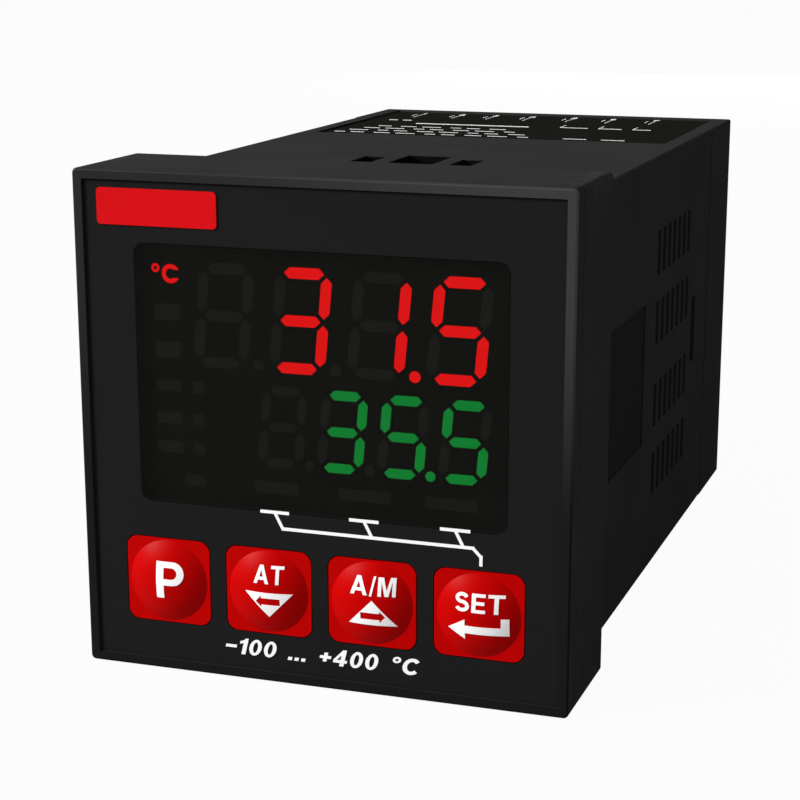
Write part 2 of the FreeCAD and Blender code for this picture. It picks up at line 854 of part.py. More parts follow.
def transformer_bobbin():
    """A square tube on the core's middle leg, two flanges and two feet on the board."""
    low = power_face + core_lift + core_yoke + bobbin_play
    high = power_face + core_lift + core_height - core_yoke - bobbin_play
    leg = core_leg / 2 + bobbin_play
    tube = leg + bobbin_wall
    reach_z = core_width / 2 - core_side_leg - bobbin_play
    reach_y = bobbin_half_y
    y = transformer_y
    z = transformer_z
    shape = box(low, high, y - tube, y + tube, z - tube, z + tube)
    for x0 in (low, high - bobbin_flange):
        shape = shape.fuse(box(x0, x0 + bobbin_flange, y - reach_y, y + reach_y, z - reach_z, z + reach_z))
    inner = core_thickness / 2 + bobbin_play
    for side in (-1, 1):
        edges = sorted((y + side * inner, y + side * reach_y))
        shape = shape.fuse(box(power_face, low, edges[0], edges[1], z - reach_z, z + reach_z))
    return shape.removeSplitter().cut(box(low - past, high + past, y - inner, y + inner, z - leg, z + leg))


def transformer_winding():
    """The wound coil between the bobbin's flanges."""
    low = power_face + core_lift + core_yoke + bobbin_play + bobbin_flange
    high = power_face + core_lift + core_height - core_yoke - bobbin_play - bobbin_flange
    tube = core_leg / 2 + bobbin_play + bobbin_wall
    half_z = core_width / 2 - core_side_leg - bobbin_play - winding_inset
    half_y = bobbin_half_y - winding_inset
    y = transformer_y
    z = transformer_z
    coil = box(low, high, y - half_y, y + half_y, z - half_z, z + half_z)
    coil = coil.makeFillet(winding_inset * 2, edges_along(coil, vec(1, 0, 0)))
    return coil.cut(box(low - past, high + past, y - tube, y + tube, z - tube, z + tube))


def relay(z):
    half = relay_width / 2
    shape = box(power_face, power_face + relay_height, relay_y, relay_y + relay_length, z - half, z + half)
    return shape.makeFillet(relay_round, edges_along(shape, vec(1, 0, 0)))


def can(radius, height, y, z):
    """An upright capacitor can with a rolled groove near its foot."""
    shape = rod_x(radius, power_face, power_face + height, y, z)
    groove_x = power_face + radius / 2
    groove = rod_x(radius + past, groove_x, groove_x + can_groove, y, z)
    return shape.cut(groove.cut(rod_x(radius - can_groove, groove_x, groove_x + can_groove, y, z)))


def varistor():
    """A coated disc that stands on its edge, with a flat foot on the board."""
    x = power_face + varistor_radius
    y0 = relay_y + relay_length + varistor_gap
    disc = rod_y(varistor_radius, y0, y0 + varistor_thickness, x, varistor_z)
    half = varistor_radius / 2
    foot = box(power_face, x, y0, y0 + varistor_thickness, varistor_z - half, varistor_z + half)
    return disc.fuse(foot).removeSplitter()


def chip(length, width, y):
    """A flat chip on the inner face of the main board."""
    return box(main_face - chip_height, main_face, y - length / 2, y + length / 2, -width / 2, width / 2)


# ---------------------------------------------------------------- write every sub-part
def save_front():
    save(front_bezel(), "front_bezel")
    save(front_seal(), "front_seal")
    save(front_overlay(), "front_overlay")
    save(printed_lines(), "printed_lines")
    save(badge_plate(), "badge_plate")
    save(display_window(), "display_window")
    for index, name in enumerate(key_names):
        save(key_cap(index), "key_" + name)
        save(plunger(index), "plunger_" + name)
        save(switch_body(index), "switch_" + name)


def save_display():
    upper_lit, upper_unlit = upper_row()
    lower_lit, lower_unlit = lower_row()
    lit_sign = unit_sign()
    unlit = unlit_signs()
    digits = upper_lit + upper_unlit + lower_lit + lower_unlit
    save(display_block(digits + lit_sign + unlit), "display_block")
    save(Part.makeCompound(upper_lit), "upper_digits_lit")
    save(Part.makeCompound(upper_unlit), "upper_digits_unlit")
    save(Part.makeCompound(lower_lit), "lower_digits_lit")
    save(Part.makeCompound(lower_unlit), "lower_digits_unlit")
    save(Part.makeCompound(lit_sign), "unit_sign_lit")
    save(Part.makeCompound(unlit), "signs_unlit")
    save(display_board(), "display_board")
    save(display_driver_chip(), "display_driver_chip")
    save(board_header(), "board_header_right")
    save(swapped(board_header()), "board_header_left")


def save_casings():
    save(housing(), "housing")
    save(terminal_base(), "terminal_base")
    save(top_label(), "top_label")


def save_terminals():
    for number, plate in enumerate(both_columns(terminal_plate), 1):
        save(plate, "terminal_plate_%02d" % number)
    save(Part.makeCompound(both_columns(terminal_washer)), "terminal_washers")
    save(Part.makeCompound(both_columns(terminal_screw)), "terminal_screws")


def save_boards():
    save(upright_board(-board_offset), "power_board")
    save(upright_board(main_face), "main_board")
    save(transformer_core(), "transformer_core")
    save(transformer_bobbin(), "transformer_bobbin")
    save(transformer_winding(), "transformer_winding")
    save(relay(alarm_relay_z), "alarm_relay")
    save(relay(output_relay_z), "output_relay")
    save(can(input_can_radius, input_can_height, input_can_y, input_can_z), "input_capacitor")
    save(can(output_can_radius, output_can_height, output_can_y, output_can_z), "output_capacitor")
    save(varistor(), "varistor")
    save(chip(controller_side, controller_side, controller_y), "controller_chip")
    save(chip(converter_length, converter_width, converter_y), "converter_chip")


save_front()
save_display()
save_casings()
save_terminals()
save_boards()
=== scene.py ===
import json
import math

import bmesh
import bpy
import numpy as np
from mathutils import Matrix, Vector


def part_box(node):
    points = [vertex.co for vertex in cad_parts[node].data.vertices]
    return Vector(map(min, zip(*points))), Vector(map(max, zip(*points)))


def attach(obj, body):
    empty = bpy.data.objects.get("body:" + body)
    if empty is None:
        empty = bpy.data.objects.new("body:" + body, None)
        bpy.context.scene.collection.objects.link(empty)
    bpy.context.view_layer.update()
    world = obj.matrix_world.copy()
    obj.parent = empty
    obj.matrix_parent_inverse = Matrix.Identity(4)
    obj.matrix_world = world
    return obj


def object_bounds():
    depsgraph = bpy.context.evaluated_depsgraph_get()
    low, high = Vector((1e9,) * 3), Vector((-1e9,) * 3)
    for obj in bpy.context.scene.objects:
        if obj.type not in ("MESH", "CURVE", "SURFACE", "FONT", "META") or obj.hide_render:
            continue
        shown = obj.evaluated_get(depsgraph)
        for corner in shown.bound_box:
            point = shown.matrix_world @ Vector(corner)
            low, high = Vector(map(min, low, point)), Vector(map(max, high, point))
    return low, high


# Looks of the panel-mounted temperature controller. The scene is in metres. Sizes written here are
# in millimetres and scaled by MM, but for the floor and the lamps, which are in metres. X is to the
# right of who reads the front, Y goes into the panel and Z is up.
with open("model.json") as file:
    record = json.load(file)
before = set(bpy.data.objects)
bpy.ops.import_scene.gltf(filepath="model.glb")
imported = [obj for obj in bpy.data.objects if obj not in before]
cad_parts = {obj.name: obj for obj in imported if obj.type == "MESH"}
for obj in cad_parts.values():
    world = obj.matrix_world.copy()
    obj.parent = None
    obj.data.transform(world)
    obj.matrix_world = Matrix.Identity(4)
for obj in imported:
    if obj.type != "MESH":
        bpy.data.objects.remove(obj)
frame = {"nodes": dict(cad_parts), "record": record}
cad_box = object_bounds()

MM = 0.001
FRONT = Matrix(((1, 0, 0), (0, 0, -1), (0, 1, 0)))      # flat figure to a face that looks along -Y
REAR = Matrix(((-1, 0, 0), (0, 0, 1), (0, 1, 0)))       # to a face that looks along +Y
TOP = Matrix.Identity(3)                                 # to a face that looks up

# The keys. A key's box is that of the hidden flange at its foot.
KEY_LOW, KEY_HIGH = (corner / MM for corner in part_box("key_program"))
KEY_PITCH = 10.3
KEY_MIDDLE_Z = (KEY_LOW.z + KEY_HIGH.z) / 2
FLANGE_REACH = 0.4           # flange past the key's sides
DOME_MARGIN = 0.175          # flat face between the dome and the key's sides
DOME_HEIGHT = 0.9
DOME_RADIUS = (KEY_HIGH.z - KEY_LOW.z) / 2 - FLANGE_REACH - DOME_MARGIN
DOME_FULLNESS = 0.3          # relief in the finish that makes the domes look fuller

# The casings.
RIM_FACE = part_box("front_bezel")[0].y / MM
TUBE_HALF = 22.4             # half the side of the housing's square tube
BASE_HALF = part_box("terminal_base")[1].x / MM
CASING_GRAIN = 0.006         # depth of the moulded grain

# The print.
PRINT_LIFT = 0.02            # middle of the print above its face
PRINT_THICKNESS = 0.06
LABEL_STROKE = 0.08          # width of the label's thin strokes

# The light. A strength of 1 is white where it is seen.
ROOM_SEEN = 1.0
ROOM_LIGHT = 0.36
FLOOR_GLOW = 0.96            # share of plain white in what is seen of the floor; the rest is lit


# ---------------------------------------------------------------- finishes
class Value:
    """A number that varies over a surface; every operator adds one Math node to its finish."""

    def __init__(self, finish, socket):
        self.finish = finish
        self.socket = socket

    def math(self, operation, first, second):
        return self.finish.node("ShaderNodeMath", {"operation": operation}, {0: first, 1: second})

    def __add__(self, other):
        return self.math("ADD", self, other)

    def __radd__(self, other):
        return self.math("ADD", other, self)

    def __sub__(self, other):
        return self.math("SUBTRACT", self, other)

    def __rsub__(self, other):
        return self.math("SUBTRACT", other, self)

    def __mul__(self, other):
        return self.math("MULTIPLY", self, other)

    def __rmul__(self, other):
        return self.math("MULTIPLY", other, self)


class Finish:
    """One procedural material: a Principled shader and the nodes that feed it."""

    def __init__(self, name, colour, **numbers):
        self.material = bpy.data.materials.new(name)
        self.material.use_nodes = True
        self.tree = self.material.node_tree
        self.shader = self.tree.nodes["Principled BSDF"]
        self.colour = tuple(colour) + (1.0,)
        self.shader.inputs["Base Color"].default_value = self.colour
        for socket, value in numbers.items():
            self.shader.inputs[socket.replace("_", " ")].default_value = value
        place = self.node("ShaderNodeTexCoord", output="Object")
        self.place = self.node("ShaderNodeVectorMath", {"operation": "SCALE"},
                               {0: place, "Scale": 1 / MM})

    def node(self, kind, settings=None, inputs=None, output=0):
        """Any node: its settings first, then its sockets' values or links; gives one output."""
        made = self.tree.nodes.new(kind)
        for key, value in (settings or {}).items():
            setattr(made, key, value)
        for key, value in (inputs or {}).items():
            if isinstance(value, Value):
                self.tree.links.new(value.socket, made.inputs[key])
            else:
                made.inputs[key].default_value = value
        return Value(self, made.outputs[output])

    def feed(self, socket, value):
        self.tree.links.new(value.socket, self.shader.inputs[socket])

    def axis(self, letter):
        """One coordinate of the surface point, in millimetres."""
        return self.node("ShaderNodeSeparateXYZ", inputs={0: self.place}, output=letter)

    def noise(self, per_mm, detail=2.0, stretch=(1.0, 1.0, 1.0)):
        """Soft random field with so many lumps per millimetre, stretched along the axes."""
        where = self.node("ShaderNodeVectorMath", {"operation": "MULTIPLY"},
                          {0: self.place, 1: stretch})
        return self.node("ShaderNodeTexNoise",
                         inputs={"Vector": where, "Scale": per_mm, "Detail": detail})

    def step(self, value, low, high):
        """Smooth rise from 0 at low to 1 at high."""
        return self.node("ShaderNodeMapRange", {"interpolation_type": "SMOOTHSTEP"},
                         {0: value, 1: low, 2: high, 3: 0.0, 4: 1.0})

    def blend(self, factor, first, second):
        """Colour between two colours."""
        def rgba(colour):
            return colour if isinstance(colour, Value) else tuple(colour) + (1.0,)
        return self.node("ShaderNodeMix", {"data_type": "RGBA"},
                         {0: factor, 6: rgba(first), 7: rgba(second)}, output=2)

    def relief(self, height, depth):
        """Bump from a height field of 0 to 1 that stands for a depth."""
        self.feed("Normal", self.node("ShaderNodeBump",
                                      inputs={"Height": height, "Distance": depth * MM}))


def srgb(red, green, blue):
    """Scene colour of a display colour given in 0 to 255, by the display's standard curve."""
    levels = np.array((red, green, blue)) / 255
    curved = ((levels + 0.055) / 1.055) ** 2.4
    return tuple(float(level) for level in np.where(levels < 0.04045, levels / 12.92, curved))


def shade(colour, factor):
    """A colour made lighter or darker by one factor."""
    return tuple(channel * factor for channel in colour)


def moulded(name, colour, roughness, specular=0.3, grain=7.0, depth=CASING_GRAIN, edge=None, face=None):
    """Moulded plastic: eroded grain, faint cloudy colour, and lighter rubbed long edges.

    The rub grows where the smaller of |x| and |z| comes near edge, half the side of a square
    casing. Where the larger of the two is below face, the point is on the wall of a hole, which gets
    painted shade: least just inside a side, more in its depth, and most in the top and bottom."""
    finish = Finish(name, colour, Specular_IOR_Level=specular)
    cloud = finish.noise(0.09, 3.0)
    fine = finish.noise(grain, 3.0)
    tone = finish.step(0.7 * cloud + 0.3 * fine, 0.3, 0.7)
    skin = finish.blend(tone, shade(colour, 0.93), shade(colour, 1.07))
    rough = roughness - 0.06 + 0.12 * finish.noise(0.35, 3.0)
    if edge:
        across = finish.node("ShaderNodeMath", {"operation": "ABSOLUTE"}, {0: finish.axis("X")})
        up = finish.node("ShaderNodeMath", {"operation": "ABSOLUTE"}, {0: finish.axis("Z")})
        corner = finish.node("ShaderNodeMath", {"operation": "MINIMUM"}, {0: across, 1: up})
        rub = finish.step(corner, edge - 0.3, edge) * finish.step(finish.noise(0.5, 4.0), 0.35, 0.65)
        skin = finish.blend(0.4 * rub, skin, shade(colour, 1.6))
        rough = rough - 0.08 * rub
    # painted shade: walls of holes and rack grooves are darkened, more with depth and most in the top and
    # bottom walls
    if edge and face:
        reach = finish.node("ShaderNodeMath", {"operation": "MAXIMUM"}, {0: across, 1: up})
        hole_shade_ramp = finish.step(reach, face - 0.6, face - 0.1)
        side = finish.blend(hole_shade_ramp, shade(colour, 0.2), shade(colour, 0.85))
        inside = finish.blend(finish.step(across - up, -0.1, 0.1), shade(colour, 0.15), side)
        skin = finish.blend(finish.step(reach, face - 0.02, face), inside, skin)
    finish.feed("Base Color", skin)
    finish.feed("Roughness", rough)
    finish.relief(fine, depth)
    return finish.material


def bezel(name, colour, dark):
    """Bezel plastic: grained sides, and a smoother dark front rim with a painted highlight to the upper
    right.

    The painted highlight is a clear coat whose weight is the product of a rise along X and a rise along Z."""
    finish = Finish(name, colour, Specular_IOR_Level=0.0, Coat_Roughness=0.45)
    fine = finish.noise(7.0, 3.0)
    cloud = finish.noise(0.09, 3.0)
    front = finish.step(finish.axis("Y"), RIM_FACE + 0.2, RIM_FACE + 0.08)
    skin = finish.blend(finish.step(cloud, 0.3, 0.7), shade(colour, 0.92), shade(colour, 1.06))
    finish.feed("Base Color", finish.blend(front, skin, dark))
    # painted highlight: the rim's coat weight rises along X and Z toward the upper right
    across = 0.3 + 0.7 * finish.step(finish.axis("X"), -15.0, 24.0)
    finish.feed("Coat Weight", 0.75 * front * finish.step(finish.axis("Z"), -8.0, 16.0) * across)
    finish.feed("Roughness", 0.44 + 0.12 * finish.noise(0.35, 3.0))
    finish.relief(fine, CASING_GRAIN)
    return finish.material


def film(name, colour, roughness, specular=0.15):
    """Printed polyester film: even colour, a very fine matt tooth and slow waviness."""
    finish = Finish(name, colour, Specular_IOR_Level=specular)
    slow = finish.noise(0.12, 2.0)
    tooth = finish.noise(14.0, 2.0)
    finish.feed("Base Color", finish.blend(slow, shade(colour, 0.93), shade(colour, 1.07)))
    finish.feed("Roughness", roughness - 0.04 + 0.08 * tooth)
    finish.relief(0.85 * slow + 0.15 * tooth, 0.012)
    return finish.material


def ink(name, colour):
    """Screen print: opaque ink with pinhole specks and a soft edge tooth."""
    finish = Finish(name, colour, Roughness=0.5, Specular_IOR_Level=0.05)
    speck = finish.step(finish.noise(5.0, 3.0), 0.28, 0.42)
    finish.feed("Base Color", finish.blend(speck, shade(colour, 0.95), colour))
    finish.relief(finish.noise(9.0, 2.0), 0.004)
    return finish.material


def light(name, colour, strength):
    """A lit segment: its own glow, a little uneven along the diffuser."""
    finish = Finish(name, shade(colour, 0.1), Roughness=0.45, Specular_IOR_Level=0.2,
                    Emission_Strength=strength)
    glow = finish.noise(0.6, 1.0)
    finish.feed("Emission Color", finish.blend(glow, shade(colour, 0.94), shade(colour, 1.06)))
    return finish.material


def smoked(name, colour, alpha):
    """Smoked clear acrylic: a dark sheet that lets the lights behind it through."""
    finish = Finish(name, colour, Roughness=0.32, Specular_IOR_Level=0.01, Alpha=alpha)
    haze = finish.noise(0.2, 2.0)
    finish.feed("Base Color", finish.blend(haze, shade(colour, 0.85), shade(colour, 1.15)))
    finish.feed("Roughness", 0.28 + 0.1 * haze)
    return finish.material


def key_plastic(name, colour):
    """Satin red plastic with a trace of flow lines; its domes look fuller than they are.

    The crown is 1 - (x^2 + z^2) / R^2 about each key's middle, cut off at 0."""
    finish = Finish(name, colour, Specular_IOR_Level=0.03)
    flow = finish.noise(0.25, 3.0, (1.0, 1.0, 2.5))
    finish.feed("Base Color", finish.blend(flow, shade(colour, 0.92), shade(colour, 1.06)))
    finish.feed("Roughness", 0.34 + 0.08 * finish.noise(3.0, 2.0))
    across = finish.node("ShaderNodeMath", {"operation": "WRAP"},
                         {0: finish.axis("X") + KEY_PITCH / 2, 1: KEY_PITCH / 2, 2: -KEY_PITCH / 2})
    up = finish.axis("Z") - KEY_MIDDLE_Z
    crown = finish.node("ShaderNodeMath", {"operation": "MAXIMUM"},
                        {0: 1.0 - (1 / DOME_RADIUS ** 2) * (across * across + up * up), 1: 0.0})
    finish.relief(crown + 0.01 * finish.noise(9.0, 2.0), DOME_FULLNESS)
    return finish.material


def metal(name, colour, roughness, stretch):
    """Plated strip or screw: drawn lines along one axis and cloudy plating."""
    finish = Finish(name, colour, Metallic=1.0)
    lines = finish.noise(4.0, 3.0, stretch)
    cloud = finish.noise(0.5, 3.0)
    finish.feed("Base Color", finish.blend(cloud, shade(colour, 0.82), shade(colour, 1.08)))
    finish.feed("Roughness", roughness - 0.08 + 0.2 * lines)
    finish.relief(lines, 0.006)
    return finish.material


def laminate(name, colour):
    """Green board: resist over a glass weave, with copper tracks that show as lighter bands."""
    finish = Finish(name, colour, Specular_IOR_Level=0.5)
    waves = [finish.node("ShaderNodeTexWave", {"wave_profile": "SIN", "bands_direction": axis},
                         {"Vector": finish.place, "Scale": 0.55}) for axis in ("Y", "Z")]
    weave = waves[0] * waves[1]
    tracks = finish.step(finish.noise(0.45, 1.0, (0.2, 1.0, 1.0)), 0.5, 0.53)
    finish.feed("Base Color", finish.blend(tracks, shade(colour, 0.8), shade(colour, 1.35)))
    finish.feed("Roughness", 0.35 + 0.1 * weave)
    finish.relief(0.5 * tracks + 0.5 * weave, 0.03)
    return finish.material


def wound(name, colour):
    """Enamelled wire laid side by side round the transformer's leg."""
    finish = Finish(name, colour, Metallic=0.7, Coat_Weight=0.5)
    turns = finish.node("ShaderNodeTexWave", {"bands_direction": "X"},
                        {"Vector": finish.place, "Scale": 1.2, "Distortion": 0.4})
    finish.feed("Base Color", finish.blend(turns, shade(colour, 0.45), shade(colour, 1.1)))
    finish.feed("Roughness", 0.5 - 0.2 * turns)
    finish.relief(turns, 0.12)
    return finish.material


WHITE = srgb(250, 250, 250)
RED_LIGHT = srgb(216, 2, 6)
GREEN_LIGHT = srgb(0, 123, 44)
FINISHES = {
    # the bezel's front rim carries a painted highlight to the upper right in its coat
    "bezel_plastic": bezel("bezel_plastic", srgb(50, 50, 50), srgb(27, 27, 27)),
    # the casing's holes and rack grooves get painted shade on their walls
    "casing_plastic": moulded("casing_plastic", srgb(51, 51, 51), 0.55, 0.0, edge=TUBE_HALF,
                              face=TUBE_HALF - 0.07),
    "base_plastic": moulded("base_plastic", srgb(51, 51, 51), 0.55, 0.0, edge=BASE_HALF),
    "seal_rubber": moulded("seal_rubber", srgb(14, 14, 14), 0.75, 0.2, grain=3.0),
    "overlay_film": film("overlay_film", srgb(30, 30, 30), 0.55, 0.0),
    "white_print": ink("white_print", WHITE),
    "badge_red": film("badge_red", srgb(205, 14, 20), 0.4, 0.03),
    "smoked_window": smoked("smoked_window", srgb(26, 26, 23), 0.5),
    "key_red": key_plastic("key_red", srgb(182, 0, 0)),
    "plunger_plastic": moulded("plunger_plastic", srgb(28, 28, 28), 0.45),
    "switch_plastic": moulded("switch_plastic", srgb(22, 22, 22), 0.5),
    "module_black": moulded("module_black", srgb(22, 22, 21), 0.6, 0.02, depth=0.004),
    "light_red": light("light_red", RED_LIGHT, 3.9),
    "light_green": light("light_green", GREEN_LIGHT, 3.6),
    "light_off": moulded("light_off", srgb(74, 74, 73), 0.6, 0.02, depth=0.004),
    "board_laminate": laminate("board_laminate", srgb(20, 96, 48)),
    "chip_black": moulded("chip_black", srgb(34, 34, 34), 0.5, grain=9.0),
    "header_black": moulded("header_black", srgb(26, 26, 26), 0.5),
    "terminal_metal": metal("terminal_metal", srgb(205, 203, 196), 0.32, (0.15, 1.0, 3.0)),
    "screw_steel": metal("screw_steel", srgb(212, 212, 208), 0.3, (1.0, 1.0, 1.0)),
    "core_ferrite": moulded("core_ferrite", srgb(62, 60, 60), 0.7, grain=4.0, depth=0.03),
    "bobbin_plastic": moulded("bobbin_plastic", srgb(34, 34, 34), 0.5),
    "winding_copper": wound("winding_copper", srgb(190, 104, 60)),
    "relay_plastic": moulded("relay_plastic", srgb(30, 34, 42), 0.35, 0.5),
    "can_sleeve": film("can_sleeve", srgb(24, 30, 66), 0.3, 0.5),
    "varistor_coat": moulded("varistor_coat", srgb(24, 62, 132), 0.4, 0.5, grain=2.0, depth=0.03),
    "label_film": film("label_film", srgb(28, 28, 25), 0.45, 0.0),
}


def node_slots():
    """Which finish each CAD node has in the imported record."""
    return {part["node"]: part["material_slot"] for part in frame["record"]["subparts"]}


def dress(piece, slot):
    """Give a piece one finish all over."""
    piece.data.materials.clear()
    piece.data.materials.append(FINISHES[slot])


# ---------------------------------------------------------------- flat figures
def curve_mesh(curve, name):
    """The filled mesh of a curve or text, as (points in the plane, faces); nothing else is kept."""
    holder = bpy.data.objects.new(name, curve)
    bpy.context.scene.collection.objects.link(holder)
    bpy.context.view_layer.update()
    graph = bpy.context.evaluated_depsgraph_get()
    filled = bpy.data.meshes.new_from_object(holder.evaluated_get(graph))
    points = np.empty(len(filled.vertices) * 3)
    filled.vertices.foreach_get("co", points)
    faces = [tuple(face.vertices) for face in filled.polygons]
    bpy.data.objects.remove(holder)
    bpy.data.meshes.remove(filled)
    return points.reshape(-1, 3)[:, :2], faces


def plain_number(number, height, weight=0.0):
    """A number of one height in the built-in face, centred on its box; a weight makes it bolder."""
    curve = bpy.data.curves.new("letters", "FONT")
    curve.body = str(number)
    curve.offset = weight
    points, faces = curve_mesh(curve, "letters")
    low, high = points.min(0), points.max(0)
    return (points - (low + high) / 2) * height / (high[1] - low[1]), faces


def figure(*loops):
    """A flat figure from closed outlines; an outline inside another one is a hole."""
    curve = bpy.data.curves.new("outline", "CURVE")
    curve.dimensions = "2D"
    curve.fill_mode = "BOTH"
    for loop in loops:
        spline = curve.splines.new("POLY")
        spline.points.add(len(loop) - 1)
        for point, (x, y) in zip(spline.points, loop):
            point.co = (x, y, 0, 1)
        spline.use_cyclic_u = True
    return curve_mesh(curve, "outline")


def bar(x0, x1, y0, y1):
    """Corners of an upright rectangle."""
    return [(x0, y0), (x1, y0), (x1, y1), (x0, y1)]


def arc(x, y, wide, tall, start, end, count=15):
    """Points along an ellipse between two angles in degrees."""
    return [(x + wide * math.cos(angle), y + tall * math.sin(angle))
            for angle in np.radians(np.linspace(start, end, count))]


def ribbon(line, half):
    """Closed outline of a stroke of even width along a line."""
    line = np.array(line)
    run = np.gradient(line, axis=0)
    run /= np.linalg.norm(run, axis=1)[:, None]
    side = np.column_stack((-run[:, 1], run[:, 0])) * half
    return np.concatenate((line + side, (line - side)[::-1])).tolist()


# Bold signs with a cap height of 1: the outlines of each; inner ones are holes.
SIGNS = {
    "P": [[(0, 0), (0.22, 0), (0.22, 0.36)] + arc(0.47, 0.68, 0.32, 0.32, -90, 90) + [(0, 1)],
          [(0.22, 0.84), (0.22, 0.53)] + arc(0.44, 0.685, 0.155, 0.155, -90, 90)],
    "A": [[(0, 0), (0.21, 0), (0.285, 0.21), (0.645, 0.21), (0.72, 0), (0.93, 0), (0.575, 1),
           (0.355, 1)], [(0.345, 0.375), (0.585, 0.375), (0.465, 0.74)]],
    "T": [[(0.29, 0), (0.49, 0), (0.49, 0.83), (0.78, 0.83), (0.78, 1), (0, 1), (0, 0.83), (0.29, 0.83)]],
    "M": [[(0, 0), (0.18, 0), (0.18, 0.78), (0.36, 0), (0.55, 0), (0.73, 0.78), (0.73, 0), (0.91, 0),
           (0.91, 1), (0.63, 1), (0.455, 0.3), (0.28, 1), (0, 1)]],
    "/": [[(0, -0.03), (0.12, -0.03), (0.33, 1.03), (0.21, 1.03)]],
    "S": [ribbon(arc(0.38, 0.715, 0.245, 0.195, 20, 270) + arc(0.38, 0.305, 0.265, 0.215, 90, -160)[1:],
                 0.09)],
    "E": [[(0, 0), (0.66, 0), (0.66, 0.17), (0.2, 0.17), (0.2, 0.42), (0.61, 0.42), (0.61, 0.59), (0.2, 0.59),
           (0.2, 0.83), (0.65, 0.83), (0.65, 1), (0, 1)]],
    "C": [ribbon(arc(0.41, 0.5, 0.31, 0.41, 42, 318), 0.1)],
    "0": [arc(0.29, 0.5, 0.29, 0.5, 0, 345, 24), arc(0.29, 0.5, 0.11, 0.34, 0, 345, 24)],
    "1": [[(0.17, 0), (0.36, 0), (0.36, 1), (0.23, 1), (0.16, 0.88), (0, 0.8), (0, 0.64), (0.17, 0.71)]],
    "4": [[(0.33, 0), (0.52, 0), (0.52, 0.2), (0.64, 0.2), (0.64, 0.37), (0.52, 0.37), (0.52, 1), (0.35, 1),
           (0, 0.38), (0, 0.2), (0.33, 0.2)], [(0.16, 0.37), (0.33, 0.37), (0.33, 0.68)]],
    "-": [bar(0, 0.52, 0.37, 0.54)],
    "+": [[(0.18, 0.18), (0.35, 0.18), (0.35, 0.37), (0.53, 0.37), (0.53, 0.54), (0.35, 0.54), (0.35, 0.73),
           (0.18, 0.73), (0.18, 0.54), (0, 0.54), (0, 0.37), (0.18, 0.37)]],
    ".": [bar(0, 0.19, 0, 0.19)],
    "°": [arc(0.19, 0.81, 0.19, 0.19, 0, 345, 24), arc(0.19, 0.81, 0.08, 0.08, 0, 345, 24)],
}


def letters(text, height, width, slant=0.0):
    """Bold signs in a row, centred on their box: cap height, width, and lean over the height."""
    shapes = []
    place = 0.0
    for sign in text:
        if sign == " ":
            place += 0.5
            continue
        outlines = [[(x + slant * y, y) for x, y in loop] for loop in SIGNS[sign]]
        shapes.append(moved(figure(*outlines), place, 0.0))
        place += max(x for x, y in SIGNS[sign][0]) + 0.12
    points, faces = together(shapes)
    low, high = points.min(0), points.max(0)
    points = points - ((low[0] + high[0]) / 2, 0.5)
    return points * (width / (high[0] - low[0]), height), faces


def moved(shape, x, y):
    """The same figure at another place."""
    points, faces = shape
    return points + np.array((x, y)), faces


def together(shapes):
    """Several flat figures as one."""
    points = []
    faces = []
    start = 0
    for some, rings in shapes:
        points.append(some)
        faces.extend(tuple(index + start for index in ring) for ring in rings)
        start += len(some)
    return np.concatenate(points), faces


def diced(shape, pitch):
    """The same figure cut along a square grid, so that it can follow a curved face."""
    points, faces = shape
    work = bmesh.new()
    corners = [work.verts.new((x, y, 0)) for x, y in points]
    for ring in faces:
        work.faces.new([corners[index] for index in ring])
    for axis in (0, 1):
        normal = Vector((axis == 0, axis == 1, 0))
        for place in np.arange(points[:, axis].min() + pitch / 2, points[:, axis].max(), pitch):
            everything = list(work.verts) + list(work.edges) + list(work.faces)
            bmesh.ops.bisect_plane(work, geom=everything, plane_co=normal * place, plane_no=normal)
    bmesh.ops.remove_doubles(work, verts=work.verts, dist=1e-5)
    work.verts.index_update()
    cut = np.array([vertex.co[:2] for vertex in work.verts])
    rings = [tuple(vertex.index for vertex in face.verts) for face in work.faces]
    work.free()
    return cut, rings


def print_piece(name, shape, turn, centre, body, height=None):
    """White print: a flat figure turned to its face, laid at its place and given its thickness.

    height(x, y) lifts each point off the plane, so that print follows a dome."""
    points, faces = shape
    lift = height(points[:, 0], points[:, 1]) if height else np.zeros(len(points))
    flat = np.column_stack((points, lift))
    placed = (flat @ np.array(turn).T + np.array(centre)) * MM
    mesh = bpy.data.meshes.new(name)
    mesh.from_pydata(placed.tolist(), [], faces)
    work = bmesh.new()
    work.from_mesh(mesh)
    bmesh.ops.recalc_face_normals(work, faces=work.faces)
    outward = Vector(turn.col[2])
    if sum((face.normal.dot(outward) * face.calc_area() for face in work.faces)) < 0:
        bmesh.ops.reverse_faces(work, faces=work.faces)
    work.to_mesh(mesh)
    work.free()
    piece = bpy.data.objects.new(name, mesh)
    bpy.context.scene.collection.objects.link(piece)
    wall = piece.modifiers.new("print_thickness", "SOLIDIFY")
    wall.thickness = PRINT_THICKNESS * MM
    wall.offset = 0.0
    dress(piece, "white_print")
    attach(piece, body)


# ---------------------------------------------------------------- print on the keys
BALL_RADIUS = (DOME_RADIUS ** 2 + DOME_HEIGHT ** 2) / (2 * DOME_HEIGHT)


def over_dome(x, y):
    """Height of the print above a dome's top: minus the sagitta of the dome's ball, plus its lift."""
    return np.sqrt(BALL_RADIUS ** 2 - x ** 2 - y ** 2) - BALL_RADIUS + PRINT_LIFT


def triangle_mark(up):
    """A triangle with an arrow cut out of it; the arrow points right in the one that points up."""
    half, tall = 2.36, 2.42
    rim = [(-half, 0), (half, 0), (0, tall)]
    arrow = [(-1.12, 0.54), (0.72, 0.54), (0.72, 0.27), (1.28, 0.87), (0.72, 1.45), (0.72, 1.2),
             (-1.12, 1.2)]
    if up:
        return figure(rim, arrow[::-1])
    return figure([(x, -y) for x, y in rim[::-1]], [(-x, -y) for x, y in arrow])


